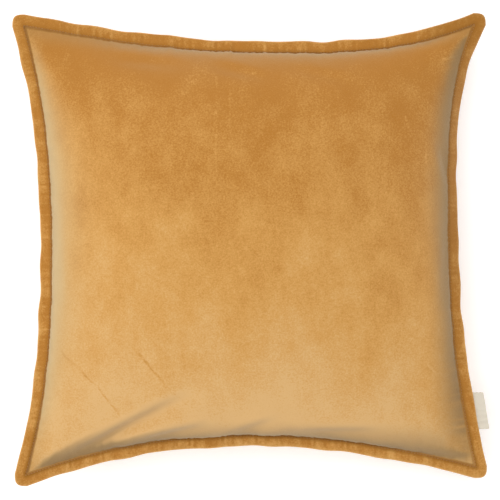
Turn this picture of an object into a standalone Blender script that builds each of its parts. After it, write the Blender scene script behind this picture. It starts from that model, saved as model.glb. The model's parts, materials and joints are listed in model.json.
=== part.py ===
"""Throw pillow: a flanged velvet cover with a zip in its back panel, over a cushion insert.

The pillow lies on its back. The origin is the middle of the flat patch that it rests on,
+Z is up through the front panel, +Y is the top edge and +X the edge with the small label.
"""
import math

import bmesh
import bpy
import numpy as np
from mathutils import Matrix, Vector

MM = 0.001

# The cover: two square panels sewn together at their edges and again at the flange seam
SEAM_HALF = 236.5 * MM        # middle of the cover to a corner of the flange seam
SIDE_PULL = 29 * MM           # how far the stuffing draws the middle of a side inwards
FLANGE_WIDTH = 13 * MM
CLOTH = 1.2 * MM              # velvet with its pile
SEAM_HEIGHT = 70 * MM         # middle plane of the flange above the floor
FRONT_RISE = 85 * MM          # crown of the front panel above the flange
BACK_DROP = 82 * MM           # how deep the back would belly if no floor flattened it
FLAT_BLEND = 6 * MM           # height over which the belly rolls onto the floor
WRAP = math.radians(81)       # how steeply a panel leaves the flange at the middle of a side

GAP = 0.3 * MM                # between pieces that touch
SEAM_PLAY = 1.6 * MM          # room between the two flange layers for what is sewn in there

# The flange seam and what it holds
ALLOWANCE = 1.0 * MM          # turned-in edges, pressed flat
ALLOWANCE_INSET = 1.82 * MM   # width of the flange that they leave free on either side
THREAD = 0.5 * MM
STITCH_OFFSET = 1.4 * MM      # top stitching outside the crease of the seam
LABEL_LENGTH = 40 * MM        # along the edge
LABEL_OUT = 10 * MM           # how far the folded label stands out of the edge
LABEL_THICK = 0.8 * MM
LABEL_TUCK = 0.4 * MM         # how far it reaches in between the layers
LABEL_BELOW = 170 * MM        # label's middle below the middle of the cover

# The zip, in the back panel next to the seam of its lower side
ZIP_HALF = 155 * MM           # half the length of the rows of coil
ZIP_SHARE = 0.84              # where it lies, from the middle of the cover to the seam
TAPE_WIDTH = 11 * MM
TAPE_THICK = 0.6 * MM
TAPE_TAIL = 8 * MM            # tape beyond the coil at each end
TEETH_GAP = 0.8 * MM          # from the zip's middle line to a row of coil
COIL_WIDTH = 2.3 * MM
COIL_THICK = 2.0 * MM
SLIT_CLEAR = 1.3 * MM         # from the slider to the folded edge of the velvet
SLIT_TAPER = 10 * MM          # length over which the slit closes beyond the zip
PANEL_SEAM = 0.3 * MM         # from the middle line to the cloth beyond the zip
BAND_MARGIN = 1.5 * MM        # the cloth follows the zip's own curve this far past the tapes
STOP_LENGTH = 2.2 * MM
STITCH_INSET = 2 * MM         # from the folded edge to the row of stitches

SLIDER_LENGTH = 11 * MM
NECK_LENGTH = 2.2 * MM        # the neck holds the plates together, between the rows of coil
COIL_PLAY = 0.5 * MM          # from the coil to the slider's sides
PLATE = 1.0 * MM              # thickness of the slider's plates, sides and neck
ARCH_LENGTH = 7.0 * MM
ARCH_WIDTH = 1.8 * MM
ARCH_BAR = 1.0 * MM
PIN_RADIUS = 0.6 * MM         # bar of the pull that turns under the arch
PIN_CLEAR = 0.5 * MM          # from the pin down to the slider
PULL_LENGTH = 26 * MM
PULL_THICK = 1.1 * MM
PULL_ARM = 1.2 * MM
ARCH_CLEAR = 1.1 * MM         # from the arch to the arms
EYE_CLEAR = 0.55 * MM         # from the arch to the end of the eye
ROUNDING = 0.3 * MM           # rounded corners of the stops

# The cushion insert
INSERT_INSET = 8 * MM         # room around it, which the stuffing of the real one closes
INSERT_DROP = 3 * MM
CASING = 0.5 * MM
FILL_CLEAR = 1.0 * MM

PANEL_CELLS = 22              # squares along a side of a cover panel
INSERT_CELLS = 12
CROWDED = 0.02                # rows and columns of a panel are no closer than this share
EDGE_CROWDING = 0.82          # 0 spaces a panel's cells evenly, 1 crowds them most at its edges
END_SEARCH = np.linspace(0.4, 1, 601)     # shares of the width among which the zip's end lies

FLANGE_BODY = 2 * CLOTH + SEAM_PLAY       # the flange's whole thickness
BAND_HALF = TEETH_GAP + TAPE_WIDTH + BAND_MARGIN
SLIDER_WIDTH = 2 * (TEETH_GAP + COIL_WIDTH + COIL_PLAY + PLATE)
SLIT_HALF = SLIDER_WIDTH / 2 + SLIT_CLEAR       # from the zip's middle line to the velvet
SLIT_OPEN = ZIP_HALF + STOP_LENGTH + 2 * GAP    # the slit is fully open this far from its middle
FLANGE_STEP = 2 / PANEL_CELLS             # grid step that stands for the flange's width


# ---------------------------------------------------------------- scene and materials

for old in list(bpy.data.objects):
    bpy.data.objects.remove(old, do_unlink=True)

pillow = bpy.data.collections.new("throw_pillow")
cutters = bpy.data.collections.new("cutters")
for group in (pillow, cutters):
    bpy.context.scene.collection.children.link(group)


def material(name, color, roughness, metallic=0.0):
    """A plain Principled material."""
    made = bpy.data.materials.new(name)
    made.use_nodes = True
    shader = made.node_tree.nodes["Principled BSDF"]
    shader.inputs["Base Color"].default_value = (*color, 1.0)
    shader.inputs["Roughness"].default_value = roughness
    shader.inputs["Metallic"].default_value = metallic
    return made


VELVET = material("ochre_velvet", (0.62, 0.34, 0.09), 0.85)
THREAD_FINISH = material("ochre_thread", (0.58, 0.33, 0.10), 0.7)
TAPE_FINISH = material("zip_tape", (0.50, 0.30, 0.10), 0.8)
COIL_FINISH = material("nylon_coil", (0.52, 0.33, 0.13), 0.45)
METAL = material("antique_brass", (0.55, 0.42, 0.22), 0.35, 1.0)
LABEL_FINISH = material("ivory_label", (0.86, 0.83, 0.74), 0.7)
CASING_FINISH = material("white_casing", (0.88, 0.87, 0.84), 0.8)
FILL_FINISH = material("white_fibre", (0.92, 0.91, 0.88), 0.9)


def add_object(name, mesh, finish, group=pillow):
    """Wrap a mesh in an object of the pillow's collection."""
    made = bpy.data.objects.new(name, mesh)
    mesh.materials.append(finish)
    group.objects.link(made)
    return made


def mesh_from(bm, name):
    """Turn a bmesh into a mesh and free it."""
    made = bpy.data.meshes.new(name)
    bm.to_mesh(made)
    bm.free()
    return made


# ---------------------------------------------------------------- shape of the stuffed pillow

def arc_profile(share):
    """Distance and rise along an arc that turns by WRAP from the crown to the seam."""
    turn = np.clip(share, -1, 1) * WRAP
    across = np.sin(turn) / math.sin(WRAP)
    rise = (np.cos(turn) - math.cos(WRAP)) / (1 - math.cos(WRAP))
    return across, rise


def share_at(distance, half):
    """The share whose place lies at a distance from the middle: the arc's inverse."""
    return np.arcsin(np.clip(distance / half, -1, 1) * math.sin(WRAP)) / WRAP


def settle(height, floor):
    """Keep a height above the floor, with a short soft roll onto it."""
    above = height - floor
    soft = (above + FLAT_BLEND) ** 2 / (4 * FLAT_BLEND)
    return floor + np.where(above < -FLAT_BLEND, 0, np.where(above < FLAT_BLEND, soft, above))


def stuffed(u, v, half, rise, base, floor=None, flange=0.0):
    """Points of a stuffed panel at shares u and v of its width and height.

    Inside -1 to 1 a point lies on the panel, whose sides curve inwards between the
    corners. Past 1 it lies on the flange. A negative rise bellies downwards.
    """
    across, rise_u = arc_profile(u)
    along, rise_v = arc_profile(v)
    pull = SIDE_PULL / SEAM_HALF
    beyond_u = np.sign(u) * np.clip(np.abs(u) - 1, 0, None) / FLANGE_STEP
    beyond_v = np.sign(v) * np.clip(np.abs(v) - 1, 0, None) / FLANGE_STEP
    x = half * across * (1 - pull * (1 - along ** 2)) + flange * beyond_u
    y = half * along * (1 - pull * (1 - across ** 2)) + flange * beyond_v
    z = base + rise * rise_u * rise_v
    if floor is not None:
        z = settle(z, floor)
    return np.stack(np.broadcast_arrays(x, y, z), axis=-1)


def front_surface(u, v):
    """Outer face of the front panel and of its flange layer."""
    return stuffed(u, v, SEAM_HALF, FRONT_RISE, SEAM_HEIGHT + FLANGE_BODY / 2, None, FLANGE_WIDTH)


def belly_surface(u, v):
    """Outer face of the back panel before the zip's band is laid into it."""
    return stuffed(u, v, SEAM_HALF, -BACK_DROP, SEAM_HEIGHT - FLANGE_BODY / 2, 0.0, FLANGE_WIDTH)


# ---------------------------------------------------------------- the zip's own curve

def point(u, v):
    """One point of the belly as a vector."""
    return Vector(belly_surface(np.float64(u), np.float64(v)))


STEP = 1e-4
zip_middle = point(0, -ZIP_SHARE)
zip_up = (point(0, -ZIP_SHARE + STEP) - point(0, -ZIP_SHARE - STEP)) / (2 * STEP)
zip_rate = zip_up.length                 # cloth length for each unit of v
zip_up.normalize()
zip_out = zip_up.cross(Vector((1, 0, 0))).normalized()
zip_out = zip_out if zip_out.z < 0 else -zip_out
zip_end = min((point(s, -ZIP_SHARE) for s in END_SEARCH), key=lambda p: abs(p.x - ZIP_HALF))
sag = Vector((0, zip_end.y - zip_middle.y, zip_end.z - zip_middle.z))
ZIP_RADIUS = (zip_end.x ** 2 + sag.length ** 2) / (2 * sag.length)
zip_inward = sag.normalized()
ZIP_CENTRE = zip_middle + ZIP_RADIUS * zip_inward
ZIP_AXIS = zip_inward.cross(Vector((1, 0, 0))).normalized()


def on_zip(along, across, out):
    """World points of places on the zip's band.

    The zip is a band bent once, round ZIP_AXIS through ZIP_CENTRE: along runs on the
    arc towards -X, across towards the middle of the back panel, out away from the stuffing.
    """
    along, across, out = np.broadcast_arrays(along, across, out)
    start = np.array(zip_middle - ZIP_CENTRE)
    flat = start + across[..., None] * np.array(zip_up) + out[..., None] * np.array(zip_out)
    turn = (along / ZIP_RADIUS)[..., None]
    axis = np.array(ZIP_AXIS)
    spun = (flat * np.cos(turn) + np.cross(axis, flat) * np.sin(turn)
            + axis * (flat @ axis)[..., None] * (1 - np.cos(turn)))
    return np.array(ZIP_CENTRE) + spun


def zip_frame(along):
    """Matrix whose X runs along the zip, Y across it and Z outwards, at a place on it."""
    origin, ahead, side, out = (Vector(on_zip(*np.float64(spot))) for spot in
                                ((along, 0, 0), (along + MM, 0, 0), (along, MM, 0), (along, 0, MM)))
    z = (out - origin).normalized()
    y = (side - origin).normalized()
    x = y.cross(z).normalized()
    frame = Matrix((x, y, z)).transposed().to_4x4()
    frame.translation = origin
    return frame


def smooth(value):
    """Ease from 0 at 0 to 1 at 1."""
    value = np.clip(value, 0, 1)
    return value * value * (3 - 2 * value)


def back_surface(u, v):
    """Outer face of the back: the belly, laid onto the zip's band where the zip runs."""
    plain = belly_surface(u, v)
    along = -plain[..., 0]
    across = (v + ZIP_SHARE) * zip_rate
    band = on_zip(along, across, 0.0)
    reach_end = max(ZIP_HALF + TAPE_TAIL, SLIT_OPEN + SLIT_TAPER)
    seam_room = (1 - ZIP_SHARE) * zip_rate - BAND_HALF
    fade_out = 1 - smooth((np.abs(along) - reach_end) / (2 * SLIT_TAPER))
    fade_up = 1 - smooth((across - BAND_HALF) / (3 * BAND_HALF))
    fade_down = 1 - smooth((-across - BAND_HALF) / seam_room)
    weight = (fade_out * fade_up * fade_down * (np.abs(u) < 1))[..., None]
    return plain * (1 - weight) + band * weight


def slit_half(u):
    """Half the opening between the folded edges of the velvet, along the zip."""
    along = np.abs(belly_surface(u, -ZIP_SHARE)[..., 0])
    closing = smooth((along - SLIT_OPEN) / SLIT_TAPER)
    return SLIT_HALF + (PANEL_SEAM - SLIT_HALF) * closing


# ---------------------------------------------------------------- sheets and solids

def grid_sheet(name, columns, rows, surface, finish, hole=None):
    """A grid whose vertices are placed by a surface function of u and v.

    Where hole is given, the faces whose u and v are both within it are left out.
    """
    bm = bmesh.new()
    bmesh.ops.create_grid(bm, x_segments=len(columns) - 1, y_segments=len(rows) - 1, size=1)
    places = np.array([vert.co[:2] for vert in bm.verts])
    column = np.rint((places[:, 0] + 1) / 2 * (len(columns) - 1)).astype(int)
    row = np.rint((places[:, 1] + 1) / 2 * (len(rows) - 1)).astype(int)
    u = np.asarray(columns)[column]
    v = np.asarray(rows)[row]
    for vert, spot in zip(bm.verts, surface(u, v)):
        vert.co = spot
    if hole is not None:
        middles = [np.mean([(u[w.index], v[w.index]) for w in face.verts], axis=0) for face in bm.faces]
        spare = [face for face, middle in zip(bm.faces, middles) if np.abs(middle).max() <= hole]
        bmesh.ops.delete(bm, geom=spare, context="FACES")
    made = add_object(name, mesh_from(bm, name), finish)
    made.data.shade_smooth()
    return made


def thicken(sheet, thickness, inward=-1):
    """Give a sheet its thickness: -1 below the face, 1 above it, 0 both ways."""
    wall = sheet.modifiers.new("thickness", "SOLIDIFY")
    wall.thickness = thickness
    wall.offset = inward


def flip(sheet):
    """Turn a sheet's faces over."""
    bm = bmesh.new()
    bm.from_mesh(sheet.data)
    bmesh.ops.reverse_faces(bm, faces=bm.faces)
    bm.to_mesh(sheet.data)
    bm.free()


def panel_shares(cells, flange_steps=0):
    """Shares from one edge to the other, closer together near the edges."""
    turn = math.pi / 2 * EDGE_CROWDING
    inner = np.sin(np.linspace(-1, 1, cells + 1) * turn) / math.sin(turn)
    outer = 1 + FLANGE_STEP * np.arange(1, flange_steps + 1) / max(flange_steps, 1)
    return np.concatenate([-outer[::-1], inner, outer])


def thread(name, points, radius, closed):
    """A thin run of thread through a list of points."""
    path = bpy.data.curves.new(name, "CURVE")
    path.dimensions = "3D"
    path.bevel_depth = radius
    path.bevel_resolution = 0
    path.use_fill_caps = True
    spline = path.splines.new("POLY")
    spline.points.add(len(points) - 1)
    for knot, spot in zip(spline.points, points):
        knot.co = (*spot, 1)
    spline.use_cyclic_u = closed
    return add_object(name, path, THREAD_FINISH)


def ring_shares(steps, reach=0.0):
    """u and v once round the square of the seam, at a reach outside it."""
    side = np.linspace(-1, 1, steps + 1)
    run = np.append(side, 1 + reach) if reach else side[1:]
    edge = np.full_like(run, 1 + reach)
    u = np.concatenate([run, edge, -run, -edge])
    v = np.concatenate([-edge, run, edge, -run])
    return u, v


def bar(name, along, across, out, finish, cells=1, bend=True):
    """A box given by its limits on the zip's band, bent with the zip where it is long."""
    bm = bmesh.new()
    bmesh.ops.create_cube(bm, size=1)
    if cells > 1:
        long_edges = [e for e in bm.edges if abs(e.verts[0].co.x - e.verts[1].co.x) > 0.5]
        bmesh.ops.subdivide_edges(bm, edges=long_edges, cuts=cells - 1, use_grid_fill=True)
    for vert in bm.verts:
        share = vert.co + Vector((0.5, 0.5, 0.5))
        spot = [low + (high - low) * part for (low, high), part in zip((along, across, out), share)]
        vert.co = on_zip(*np.float64(spot)) if bend else spot
    return add_object(name, mesh_from(bm, name), finish)


def round_off(piece):
    """Round the edges of a small piece."""
    rounding = piece.modifiers.new("rounding", "BEVEL")
    rounding.width = ROUNDING
    rounding.segments = 2


def join(piece, blocks):
    """Fuse blocks into one piece."""
    for block in blocks:
        union = piece.modifiers.new(block.name, "BOOLEAN")
        union.operation = "UNION"
        union.solver = "EXACT"
        union.object = block


# ---------------------------------------------------------------- cover

shares = panel_shares(PANEL_CELLS, 2)
cover_front = grid_sheet("cover_front", shares, shares, front_surface, VELVET)
thicken(cover_front, CLOTH)

# The back is cut in two along the zip, so that its lower strip is a piece of its own
line_half = belly_surface(1.0, -ZIP_SHARE)[0]
marks = [share_at(SLIT_OPEN + SLIT_TAPER * part, line_half) for part in (0, 0.5, 1)]
marks += [-mark for mark in marks]
back_shares = sorted([s for s in shares if min(abs(s - mark) for mark in marks) > CROWDED] + marks)

main_rows = [-ZIP_SHARE + BAND_HALF / zip_rate]
main_rows += [s for s in shares if s > main_rows[0] + CROWDED]
strip_rows = [-1 - FLANGE_STEP, -1 - FLANGE_STEP / 2, -1, -ZIP_SHARE - BAND_HALF / zip_rate]


def main_back(u, v):
    """The back above the zip: its lowest row is the folded edge along the slit."""
    edge = -ZIP_SHARE + slit_half(u) / zip_rate
    return back_surface(u, np.where(v < -ZIP_SHARE + STEP, edge, v))


def strip_back(u, v):
    """The back below the zip: its highest row is the folded edge along the slit."""
    edge = -ZIP_SHARE - slit_half(u) / zip_rate
    return back_surface(u, np.where(v > -ZIP_SHARE - STEP, edge, v))


cover_back = grid_sheet("cover_back", back_shares, [-ZIP_SHARE] + main_rows, main_back, VELVET)
cover_back_strip = grid_sheet("cover_back_strip", back_shares, strip_rows + [-ZIP_SHARE], strip_back,
                              VELVET)
for panel in (cover_back, cover_back_strip):
    flip(panel)
    thicken(panel, CLOTH)


def flange_middle(inset):
    """Surface of the flange's middle plane, where inset shares of its width stay free."""
    def surface(u, v):
        reach_u = np.sign(u) * (1 + FLANGE_STEP * (inset + (1 - 2 * inset) * (np.abs(u) > 1 + STEP)))
        reach_v = np.sign(v) * (1 + FLANGE_STEP * (inset + (1 - 2 * inset) * (np.abs(v) > 1 + STEP)))
        edge_u = np.where(np.abs(u) > 1 - STEP, reach_u, u)
        edge_v = np.where(np.abs(v) > 1 - STEP, reach_v, v)
        return stuffed(edge_u, edge_v, SEAM_HALF, 0.0, SEAM_HEIGHT, None, FLANGE_WIDTH)
    return surface


ring = panel_shares(PANEL_CELLS, 1)
seam_allowance = grid_sheet("seam_allowance", ring, ring, flange_middle(ALLOWANCE_INSET / FLANGE_WIDTH), VELVET,
                            hole=1.0)
thicken(seam_allowance, ALLOWANCE, 0)


def seam_ring(offset, height, steps=16):
    """Closed run of points at a distance outside the crease of the flange seam."""
    u, v = ring_shares(steps, FLANGE_STEP * offset / FLANGE_WIDTH)
    return stuffed(u, v, SEAM_HALF, 0.0, height, None, FLANGE_WIDTH)


stitch_lift = FLANGE_BODY / 2 + GAP + THREAD / 2
thread("flange_stitch_top", seam_ring(STITCH_OFFSET, SEAM_HEIGHT + stitch_lift), THREAD / 2, True)
thread("flange_stitch_under", seam_ring(STITCH_OFFSET, SEAM_HEIGHT - stitch_lift), THREAD / 2, True)
edge_offset = FLANGE_WIDTH - ALLOWANCE_INSET / 2
thread("edge_stitch", seam_ring(edge_offset, SEAM_HEIGHT), THREAD / 2, True)


def label_place(u, v):
    """The label's middle plane: u from the tucked end outwards, v along the edge."""
    share = share_at(v * LABEL_LENGTH / 2 - LABEL_BELOW, SEAM_HALF)
    edge = stuffed(np.full_like(u, 1 + FLANGE_STEP), share, SEAM_HALF, 0.0, SEAM_HEIGHT,
                   None, FLANGE_WIDTH)
    out = -LABEL_TUCK + (LABEL_OUT + LABEL_TUCK) * (u + 1) / 2
    return edge + out[..., None] * np.array((1.0, 0.0, 0.0))


side_label = grid_sheet("side_label", np.linspace(-1, 1, 4), np.linspace(-1, 1, 7), label_place,
                        LABEL_FINISH)
thicken(side_label, LABEL_THICK, 0)

# ---------------------------------------------------------------- zip

zip_floor = -CLOTH - GAP                          # outer face of the tapes
zip_cells = 24
coil_low = zip_floor + GAP
coil_high = coil_low + COIL_THICK
tape_reach = ZIP_HALF + TAPE_TAIL
for row, side in (("upper", 1), ("lower", -1)):
    tape_span = sorted((side * TEETH_GAP, side * (TEETH_GAP + TAPE_WIDTH)))
    coil_span = sorted((side * TEETH_GAP, side * (TEETH_GAP + COIL_WIDTH)))
    bar(f"zip_tape_{row}", (-tape_reach, tape_reach), tape_span, (zip_floor - TAPE_THICK, zip_floor),
        TAPE_FINISH, zip_cells)
    bar(f"zip_coil_{row}", (-ZIP_HALF, ZIP_HALF), coil_span, (coil_low, coil_high), COIL_FINISH,
        zip_cells)
    round_off(bar(f"zip_top_stop_{row}", (-ZIP_HALF - GAP - STOP_LENGTH, -ZIP_HALF - GAP), coil_span,
                  (coil_low, coil_high), METAL))

stop_reach = TEETH_GAP + COIL_WIDTH
round_off(bar("zip_bottom_stop", (ZIP_HALF + GAP, ZIP_HALF + GAP + STOP_LENGTH),
              (-stop_reach, stop_reach), (coil_low, coil_high), METAL))

stitch_line = np.linspace(-ZIP_HALF - STOP_LENGTH, ZIP_HALF + STOP_LENGTH, zip_cells + 1)
for row, side in (("upper", 1), ("lower", -1)):
    run = on_zip(stitch_line, side * (SLIT_HALF + STITCH_INSET), GAP + THREAD / 2)
    thread(f"zip_stitch_{row}", run, THREAD / 2, False)

# The slider is made flat at the origin, X along the zip and Z outwards, and then placed
SLIDER_REST = -ZIP_HALF + SLIDER_LENGTH / 2 + GAP
inner_top = zip_floor - TAPE_THICK - GAP
inner_low = inner_top - PLATE
outer_low = coil_high + GAP
outer_top = outer_low + PLATE
pin_height = outer_top + PIN_CLEAR + PIN_RADIUS
arch_inside = pin_height + PIN_RADIUS + GAP
arch_top = arch_inside + ARCH_BAR


def slider_block(name, along, across, out):
    """One block of the slider or the pull, in the piece's own flat frame."""
    block = bar(name, along, across, out, METAL, bend=False)
    pillow.objects.unlink(block)
    cutters.objects.link(block)
    block.hide_render = True
    block.display_type = "WIRE"
    return block


half_length = SLIDER_LENGTH / 2
half_width = SLIDER_WIDTH / 2
zip_slider = bar("zip_slider", (-half_length, half_length), (-half_width, half_width),
                 (outer_low, outer_top), METAL, bend=False)
joined = [
    slider_block("slider_inner_plate", (-half_length, half_length), (-half_width, half_width),
                 (inner_low, inner_top)),
    slider_block("slider_neck", (-half_length, -half_length + NECK_LENGTH),
                 (-TEETH_GAP + GAP, TEETH_GAP - GAP), (inner_low + PLATE / 2, outer_top - PLATE / 2)),
]
for side in (-1, 1):
    wall = sorted((side * half_width, side * (half_width - PLATE)))
    joined.append(slider_block(f"slider_side_{side:+d}", (-half_length, half_length), wall,
                               (zip_floor + GAP, outer_top - PLATE / 2)))
arch_half = ARCH_LENGTH / 2
for end in (-1, 1):
    leg = sorted((end * arch_half, end * (arch_half - ARCH_BAR)))
    joined.append(slider_block(f"slider_leg_{end:+d}", leg, (-ARCH_WIDTH / 2, ARCH_WIDTH / 2),
                               (outer_top - PLATE / 2, arch_top - ARCH_BAR / 2)))
joined.append(slider_block("slider_arch", (-arch_half, arch_half), (-ARCH_WIDTH / 2, ARCH_WIDTH / 2),
                           (arch_inside, arch_top)))
join(zip_slider, joined)

# The pull: a flat tab with an eye whose end bar turns under the slider's arch
eye_half = ARCH_WIDTH / 2 + ARCH_CLEAR
arm_half = eye_half + PULL_ARM
arch_reach = math.hypot(ARCH_LENGTH / 2, max(arch_top - pin_height, pin_height - outer_top))
eye_end = arch_reach + EYE_CLEAR
zip_pull = bar("zip_pull", (eye_end, PULL_LENGTH), (-arm_half, arm_half),
               (-PULL_THICK / 2, PULL_THICK / 2), METAL, bend=False)
pull_parts = []
for side in (-1, 1):
    arm = sorted((side * arm_half, side * eye_half))
    pull_parts.append(slider_block(f"pull_arm_{side:+d}", (0, eye_end + PULL_ARM), arm,
                                   (-PULL_THICK / 2, PULL_THICK / 2)))
bm = bmesh.new()
bmesh.ops.create_cone(bm, cap_ends=True, segments=16, radius1=PIN_RADIUS, radius2=PIN_RADIUS,
                      depth=2 * arm_half)
bmesh.ops.rotate(bm, verts=bm.verts, matrix=Matrix.Rotation(math.pi / 2, 3, "X"))
pin = add_object("pull_pin", mesh_from(bm, "pull_pin"), METAL, cutters)
pin.hide_render = True
pin.display_type = "WIRE"
pull_parts.append(pin)
join(zip_pull, pull_parts)

# Both turn about their joints: the slider round the centre of the zip's arc, the pull round its pin
slider_frame = zip_frame(SLIDER_REST)
pin_frame = slider_frame @ Matrix.Translation((0, 0, pin_height))
axis_frame = ZIP_AXIS.to_track_quat("Z", "X").to_matrix().to_4x4()
axis_frame.translation = ZIP_CENTRE


def pivot(name, frame, parent=None):
    """An empty on a joint's axis."""
    made = bpy.data.objects.new(name, None)
    pillow.objects.link(made)
    made.parent = parent
    made.matrix_world = frame
    return made


slider_pivot = pivot("slider_pivot", axis_frame)
bpy.context.view_layer.update()
pull_pivot = pivot("pull_pivot", pin_frame, slider_pivot)
bpy.context.view_layer.update()
for piece, holder, frame in ([(zip_slider, slider_pivot, slider_frame), (zip_pull, pull_pivot, pin_frame)]
                             + [(block, slider_pivot, slider_frame) for block in joined]
                             + [(block, pull_pivot, pin_frame) for block in pull_parts]):
    piece.parent = holder
    piece.matrix_world = frame

# ---------------------------------------------------------------- cushion insert

insert_half = SEAM_HALF - INSERT_INSET
lip = CASING + GAP / 2
casing_floor = CLOTH + GAP


def casing_front(u, v):
    """Outer face of the insert's front casing."""
    return stuffed(u, v, insert_half, FRONT_RISE - INSERT_DROP, SEAM_HEIGHT + lip)


def casing_back(u, v):
    """Outer face of the insert's back casing."""
    return stuffed(u, v, insert_half, -(BACK_DROP - INSERT_DROP), SEAM_HEIGHT - lip, casing_floor)


insert_shares = panel_shares(INSERT_CELLS)
insert_front = grid_sheet("insert_front", insert_shares, insert_shares, casing_front, CASING_FINISH)
insert_back = grid_sheet("insert_back", insert_shares, insert_shares, casing_back, CASING_FINISH)
flip(insert_back)
for casing in (insert_front, insert_back):
    thicken(casing, CASING)

seam_run = stuffed(*ring_shares(14), insert_half + GAP + THREAD / 2, 0.0, SEAM_HEIGHT)
thread("insert_stitch", seam_run, THREAD / 2, True)

# The filling is a front and a back sheet that share their rim
fill_half = insert_half - 4 * FILL_CLEAR


def fill_front(u, v):
    """Upper face of the filling."""
    return stuffed(u, v, fill_half, FRONT_RISE - INSERT_DROP - 2 * FILL_CLEAR, SEAM_HEIGHT)


def fill_back(u, v):
    """Lower face of the filling."""
    floor = casing_floor + CASING + FILL_CLEAR
    return stuffed(u, v, fill_half, -(BACK_DROP - INSERT_DROP - 2 * FILL_CLEAR), SEAM_HEIGHT, floor)


fill_top = grid_sheet("fill_top", insert_shares, insert_shares, fill_front, FILL_FINISH)
fill_under = grid_sheet("fill_under", insert_shares, insert_shares, fill_back, FILL_FINISH)
flip(fill_under)
bm = bmesh.new()
bm.from_mesh(fill_top.data)
bm.from_mesh(fill_under.data)
bmesh.ops.remove_doubles(bm, verts=bm.verts, dist=0.01 * MM)
for half in (fill_top, fill_under):
    bpy.data.objects.remove(half, do_unlink=True)
filling = add_object("filling", mesh_from(bm, "filling"), FILL_FINISH)
filling.data.shade_smooth()

print("zip: radius %.4f m, centre %s, axis %s" % (ZIP_RADIUS, tuple(ZIP_CENTRE), tuple(ZIP_AXIS)))
print("pin: centre %s, axis %s" % (tuple(pin_frame.translation), tuple(pin_frame.col[1][:3])))
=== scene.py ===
# %% [markdown]
# # A velvet throw pillow with a flange edge
#
# A square pillow cover is two velvet panels sewn together round their edges, turned right
# side out, and sewn again a little way in. The strip outside that second seam stays flat and
# is called the flange. A stuffed insert fills the rest. This lesson shapes the panels, sews
# the flange, adds the zip and the label, and then finishes every material with nodes.

# %% The frame
import json
import math

import bpy
import numpy as np
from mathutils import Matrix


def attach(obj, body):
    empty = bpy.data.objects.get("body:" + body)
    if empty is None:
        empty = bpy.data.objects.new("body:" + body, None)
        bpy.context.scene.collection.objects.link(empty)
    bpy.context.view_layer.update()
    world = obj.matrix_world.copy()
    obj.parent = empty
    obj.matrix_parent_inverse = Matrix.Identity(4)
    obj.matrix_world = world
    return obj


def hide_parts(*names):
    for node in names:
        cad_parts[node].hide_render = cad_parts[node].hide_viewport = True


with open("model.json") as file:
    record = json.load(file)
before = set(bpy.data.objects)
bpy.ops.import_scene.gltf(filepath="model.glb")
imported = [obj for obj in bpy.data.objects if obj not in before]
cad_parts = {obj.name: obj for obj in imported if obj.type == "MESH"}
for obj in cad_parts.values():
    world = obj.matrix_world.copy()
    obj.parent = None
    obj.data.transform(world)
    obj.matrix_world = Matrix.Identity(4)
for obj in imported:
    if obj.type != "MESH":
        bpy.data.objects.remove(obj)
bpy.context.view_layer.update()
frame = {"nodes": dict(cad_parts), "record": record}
MM = 0.001

# %% [markdown]
# ## Camera, floor and light
#
# The pillow lies on its back on a white table and is seen from straight above, so the camera
# looks down with a long lens. A broad soft lamp at the top left makes the side light, and an
# even white world fills the shadows. The Standard view keeps the ochre as warm as it is.

# %% Camera, floor and light
CAMERA_HEIGHT = 2.6
FLANGE_HEIGHT = 0.070
VIEW_WIDTH = 0.528            # how much the frame takes in at the height of the flange
SENSOR = 36.0
LAMP_AIM = (0.0, 0.0, 0.05)

camera_data = bpy.data.cameras.new("camera")
camera_data.sensor_width = SENSOR
camera_data.lens = SENSOR * (CAMERA_HEIGHT - FLANGE_HEIGHT) / VIEW_WIDTH
camera = bpy.data.objects.new("camera", camera_data)
camera.location = (-0.001, 0.0, CAMERA_HEIGHT)
bpy.context.scene.collection.objects.link(camera)
bpy.context.scene.camera = camera


def lamp(name, place, size, power, color=(1.0, 1.0, 1.0)):
    """A square area lamp at a place, turned towards the middle of the pillow."""
    data = bpy.data.lights.new(name, "AREA")
    data.size = size
    data.energy = power
    data.color = color
    made = bpy.data.objects.new(name, data)
    made.location = place
    away = np.array(place) - np.array(LAMP_AIM)
    flat = math.hypot(away[0], away[1])
    made.rotation_euler = (math.atan2(flat, away[2]), 0.0, math.atan2(away[0], -away[1]))
    bpy.context.scene.collection.objects.link(made)


lamp("key", (-2.1, 1.0, 2.1), 1.0, 23.0, (1.0, 0.99, 0.97))
lamp("overhead", (-0.1, 0.0, 3.4), 2.6, 66.0)

world = bpy.data.worlds.new("soft studio")
world.use_nodes = True
backdrop = world.node_tree.nodes["Background"]
backdrop.inputs["Color"].default_value = (1.0, 1.0, 1.0, 1.0)
backdrop.inputs["Strength"].default_value = 0.36
bpy.context.scene.world = world
bpy.context.scene.view_settings.view_transform = "Standard"

# %% [markdown]
# ## Helpers: a sheet, a tube and a claim
#
# Nearly every piece here is a surface over two parameters. `surface` takes a grid of points
# worked out with numpy and turns it into quads. `tube` carries a circle along a path, which
# makes threads and the wire of the zip's coil. `claim` says what a finished piece belongs to.


# %% Surfaces and tubes
def new_object(name, mesh, finish):
    """Link a mesh to the scene as a smooth-shaded object with one material slot."""
    made = bpy.data.objects.new(name, mesh)
    bpy.context.scene.collection.objects.link(made)
    mesh.shade_smooth()
    mesh.materials.append(finish)
    return made


def quads_of(index):
    """Quads between neighbouring rows and columns of a grid of vertex numbers."""
    return np.stack([index[:-1, :-1], index[:-1, 1:], index[1:, 1:], index[1:, :-1]], -1).reshape(-1, 4)


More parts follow.
